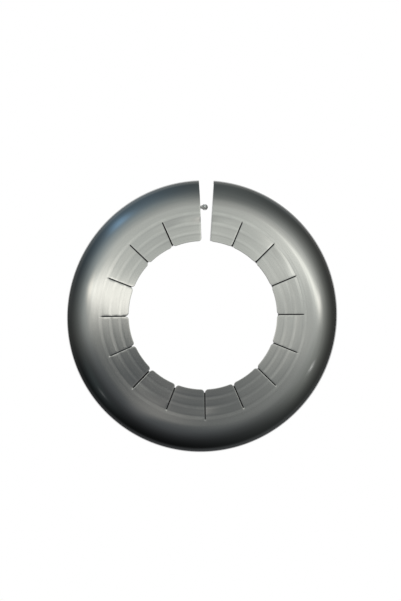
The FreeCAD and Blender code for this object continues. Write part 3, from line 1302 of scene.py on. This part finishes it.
        # Noise that makes the painted groove highlights and painted shade lines patchy.
        patchiness = shader.noise(place, self.patch_scale)
        swing = (self.roughness - self.roughness_swing, self.roughness + self.roughness_swing)
        fleck = shader.add("ShaderNodeBump", {}, {
            "Strength": self.fleck_strength, "Distance": self.fleck_depth * MM,
            "Height": shader.noise(place, self.fleck_scale),
        })
        surface = shader.add("ShaderNodeBsdfPrincipled", {}, {
            "Base Color": self.tone(shader, streak, patchiness, radius), "Metallic": self.metallic,
            "Roughness": shader.smooth(streak, *self.streak_blur_range, *swing), "Normal": fleck,
        })
        shader.add("ShaderNodeOutputMaterial", {}, {"Surface": surface})
        return material


CLIP_FINISH = SilverLacquer(
    name="clip_satin", colour=(0.97, 0.97, 0.96), streak_colour=(0.92, 0.92, 0.91), metallic=0.65,
    roughness=0.48,
)


@dataclass(frozen=True)
class SoftLight:
    """One soft light of the studio, as a stretched round glow in the sky.

    Attributes:
        x: X of the way to its middle.
        y: Y of the way to its middle.
        wide: Its spread along its own X axis, as a share of the sky's radius.
        narrow: Its spread along its own Y axis.
        turn: How far those axes are turned.
        colour: Its colour and strength in the middle.
    """

    x: float
    y: float
    wide: float
    narrow: float
    turn: float
    colour: tuple[float, float, float]


LIGHTS = (
    SoftLight(-0.184, 0.064, 0.128, 0.037, 17, (0.382, 0.375, 0.334)),
    SoftLight(-0.264, 0.180, 0.294, 0.117, 29, (0.487, 0.497, 0.460)),
    SoftLight(0.397, 0.186, 0.258, 0.213, 56, (0.621, 0.635, 0.592)),
    SoftLight(0.402, 0.140, 0.122, 0.034, 157, (0.876, 0.866, 0.772)),
    SoftLight(0.079, 0.154, 0.289, 0.072, 178, (0.384, 0.400, 0.366)),
    SoftLight(-0.444, 0.622, 0.244, 0.326, 163, (0.159, 0.224, 0.271)),
    SoftLight(-0.359, 0.382, 0.150, 0.353, 123, (0.335, 0.347, 0.314)),
    SoftLight(-0.164, -0.275, 0.330, 0.256, 149, (0.119, 0.128, 0.134)),
    SoftLight(0.646, -0.159, 0.179, 0.248, 164, (0.205, 0.214, 0.194)),
    SoftLight(-0.168, 0.103, 0.186, 0.022, 166, (1.295, 1.254, 1.141)),
    SoftLight(0.011, -0.042, 0.222, 0.033, 52, (0.206, 0.193, 0.175)),
    SoftLight(0.256, 0.761, 0.270, 0.904, 10, (0.112, 0.126, 0.124)),
    SoftLight(-0.398, 0.158, 0.038, 0.075, 65, (0.520, 0.447, 0.350)),
    SoftLight(0.362, 0.261, 0.267, 0.105, 153, (0.195, 0.189, 0.173)),
    SoftLight(-0.499, 0.651, 0.073, 0.055, 151, (0.142, 0.280, 0.432)),
    SoftLight(-0.676, -0.395, 0.159, 0.083, 118, (0.031, 0.041, 0.041)),
    SoftLight(0.640, -0.232, 0.030, 0.010, 168, (1.050, 1.042, 1.034)),
    SoftLight(0.555, 0.110, 0.051, 0.032, 176, (0.627, 0.587, 0.542)),
    SoftLight(0.233, 0.148, 0.041, 0.027, 135, (0.840, 0.826, 0.750)),
    SoftLight(0.688, 0.728, 0.375, 0.021, 143, (0.049, 0.056, 0.060)),
    SoftLight(-0.634, -0.470, 0.022, 0.014, 128, (0.165, 0.165, 0.162)),
)


@dataclass
class Studio:
    """The white floor, the soft light all round and the camera over the ring.

    Attributes:
        lights: The soft lights.
        view_leans: How far the camera looks along X and along Y from straight down.
        glow_from: Angle from the mirrored view at which the glow near the horizon begins.
        glow_to: Angle at which it is full.
        glow_far: Its colour towards +Y.
        glow_near: Its colour towards -Y.
        ground_tone: Tone of all below the horizon.
        horizon_soft: Height over which the ground passes into the sky.
        floor_radius: The floor's radius.
        floor_sides: Its number of sides.
        cover_reach: How far things over the floor shade it.
        cover_samples: Samples of that shade.
        cover_clear: Openness of the floor from which there is none.
        cover_tone: Tone of the floor where it is fullest.
        shade_from: Radius at which the painted shade under the ring begins.
        shade_to: Radius at which it ends.
        shade_soft: Width over which it fades in, and fades at the split.
        shade_fade: Width over which it fades out at the rim.
        shade_tone: Tone of the floor in it.
        split: The ring's split, where there is none.
        camera_distance: Distance of the camera from the point that it looks at.
        camera_reach: How far it sees, in metres.
        aim: The point that it looks at.
        lens: Its focal length.
    """

    lights: tuple[SoftLight, ...] = LIGHTS
    view_leans: tuple[float, float] = (2.5, 3.2)
    glow_from: float = 72.5
    glow_to: float = 81.5
    glow_far: tuple[float, float, float] = (0.1530, 0.1509, 0.1408)
    glow_near: tuple[float, float, float] = (0.0720, 0.0750, 0.0786)
    ground_tone: float = 0.7
    horizon_soft: float = 0.03
    floor_radius: float = 6000.0
    floor_sides: int = 64
    cover_reach: float = 8.0
    cover_samples: int = 16
    cover_clear: float = 0.7
    cover_tone: float = 0.93
    shade_from: float = 46.0
    shade_to: float = 81.0
    shade_soft: float = 0.8
    shade_fade: float = 1.0
    shade_tone: float = 0.012
    split: Gap = field(default_factory=lambda: CoverRing().gaps[0])
    camera_distance: float = 2500.0
    camera_reach: float = 20.0
    aim: tuple[float, float, float] = (-0.977, 9.52, 2.5)
    lens: float = 246.0

    @property
    def view_slopes(self) -> list[float]:
        """The leans of the camera's view as slopes along X and along Y."""
        return [math.tan(math.radians(lean)) for lean in self.view_leans]

    def build_floor(self) -> bpy.types.Object:
        """Make the floor that the ring lies on.

        Returns:
            The floor.
        """
        mesh = bmesh.new()
        bmesh.ops.create_circle(
            mesh, cap_ends=True, radius=self.floor_radius, segments=self.floor_sides
        )
        bmesh.ops.recalc_face_normals(mesh, faces=mesh.faces)
        if next(iter(mesh.faces)).normal.z < 0:
            bmesh.ops.reverse_faces(mesh, faces=mesh.faces)
        floor = finish_piece("floor", mesh)
        return floor

    def split_mask(self, shader: Shader, x: Wire, y: Wire) -> Wire:
        """Mask the part of the floor that shows through the split.

        Args:
            shader: The floor's shader.
            x: The place along X.
            y: The place along Y.

        Returns:
            The mask, 1 in the split.
        """
        slopes = [math.tan(math.radians(lean)) for lean in self.split.leans]
        left = x + self.split.straight(Side.LATER, 0.0) + y * slopes[Side.LATER.value]
        right = self.split.straight(Side.EARLIER, 0.0) + y * slopes[Side.EARLIER.value] - x
        open_side = shader.maths("MINIMUM", left, right)
        mask = shader.smooth(open_side, -self.shade_soft, 0.0, 0.0, 1.0)
        return mask * shader.smooth(y, 0.0, self.shade_fade, 0.0, 1.0)

    def shade(self, shader: Shader) -> Wire:
        """Shade the floor under the ring and close round it.

        Args:
            shader: The floor's shader.

        Returns:
            The floor's tone.
        """
        place = shader.add("ShaderNodeTexCoord", {}, {}, "Object")
        x, y, _ = (part / MM for part in shader.parts(place))
        radius = shader.maths("SQRT", x * x + y * y)
        full_from, full_to = self.shade_from + self.shade_soft, self.shade_to - self.shade_fade
        under = shader.smooth(radius, self.shade_from, full_from, 0.0, 1.0)
        under = under * shader.smooth(radius, full_to, self.shade_to, 1.0, 0.0)
        under = under * (1 - self.split_mask(shader, x, y))
        settings, inputs = {"samples": self.cover_samples}, {"Distance": self.cover_reach * MM}
        cover = shader.add("ShaderNodeAmbientOcclusion", settings, inputs, "AO")
        near = shader.smooth(cover, 0.0, self.cover_clear, self.cover_tone, 1.0)
        return (1 - under * (1 - self.shade_tone)) * near

    def dress_floor(self, floor: bpy.types.Object) -> None:
        """Paint the floor white, with a soft shade where the ring covers it.

        It lights the camera's and the mirrors' rays alone, and is clear from below.

        Args:
            floor: The floor.
        """
        material = bpy.data.materials.new("studio_floor")
        material.use_nodes = True
        shader = Shader(material.node_tree)
        seen = shader.add("ShaderNodeLightPath", {}, {}, "Is Camera Ray")
        mirrored = Wire(shader, seen.socket.node.outputs["Is Glossy Ray"])
        strength = shader.maths("MAXIMUM", seen, mirrored) * self.shade(shader)
        light = shader.add(
            "ShaderNodeEmission", {}, {"Color": (1, 1, 1, 1), "Strength": strength}
        )
        clear = shader.add("ShaderNodeBsdfTransparent", {}, {})
        back = shader.add("ShaderNodeNewGeometry", {}, {}, "Backfacing")
        whole = shader.add("ShaderNodeMixShader", {}, {0: back, 1: light, 2: clear})
        shader.add("ShaderNodeOutputMaterial", {}, {"Surface": whole})
        floor.data.materials.append(material)

    def build_world(self) -> None:
        """Make the light that comes from all round."""
        world = bpy.data.worlds.new("studio")
        bpy.context.scene.world = world
        world.use_nodes = True
        shader = Shader(world.node_tree)
        way = shader.add("ShaderNodeTexCoord", {}, {}, "Generated")
        _, y, z = shader.parts(way)
        flat = shader.vector("MULTIPLY", way, (1, 1, 0))
        total = shader.add("ShaderNodeCombineXYZ", {}, {})
        for light in self.lights:
            local = shader.add("ShaderNodeMapping", {"vector_type": "TEXTURE"}, {
                "Vector": flat, "Location": (light.x, light.y, 0),
                "Rotation": (0, 0, math.radians(light.turn)),
                "Scale": (light.wide, light.narrow, 1),
            })
            away = shader.vector("DOT_PRODUCT", local, local, output=1)
            fall = shader.maths("EXPONENT", away * -0.5)
            total = shader.vector("MULTIPLY_ADD", light.colour, fall, total)
        axis = Vector((*self.view_slopes, 1)).normalized()
        away = shader.maths("ARCCOSINE", shader.vector("DOT_PRODUCT", way, axis[:], output=1))
        start, full = math.radians(self.glow_from), math.radians(self.glow_to)
        glow = shader.smooth(away, start, full, 0.0, 1.0)
        for side, colour in ((y, self.glow_far), (0 - y, self.glow_near)):
            facing = shader.maths("MAXIMUM", side, 0.0)
            total = shader.vector("MULTIPLY_ADD", colour, facing * glow, total)
        below = shader.smooth(z, -self.horizon_soft, 0.0, 1.0, 0.0)
        ground = (self.ground_tone, self.ground_tone, self.ground_tone, 1)
        colour = shader.blend(below, total, ground)
        sky = shader.add("ShaderNodeBackground", {}, {"Color": colour, "Strength": 1.0})
        shader.add("ShaderNodeOutputWorld", {}, {"Surface": sky})

    def build_camera(self) -> None:
        """Set the camera over the ring, at the photograph's angle."""
        lens = bpy.data.cameras.new("camera")
        lens.lens = self.lens
        lens.clip_end = self.camera_reach
        camera = bpy.data.objects.new("camera", lens)
        bpy.context.scene.collection.objects.link(camera)
        x, y = self.view_slopes
        back = Vector((-x, -y, 1)).normalized()
        side = Vector((0, 1, 0)).cross(back).normalized()
        turn = Matrix((side, back.cross(side), back)).transposed().to_4x4()
        place = (Vector(self.aim) + back * self.camera_distance) * MM
        camera.matrix_world = Matrix.Translation(place) @ turn
        bpy.context.scene.camera = camera

    def build(self) -> None:
        """Set up the studio."""
        bpy.context.scene.view_settings.view_transform = "Standard"
        self.dress_floor(self.build_floor())
        self.build_world()
        self.build_camera()


def main() -> None:
    """Build the rosette and its studio in order."""
    logging.basicConfig(level=logging.INFO, format="%(name)s %(message)s")
    Studio().build()
    lacquer, satin = SilverLacquer().make(), CLIP_FINISH.make()
    for part, finish in ((CoverRing(), lacquer), (BallPeg(), satin), (SocketBlock(), satin)):
        part.dress(part.build(), finish)


if __name__ == "__main__":
    main()
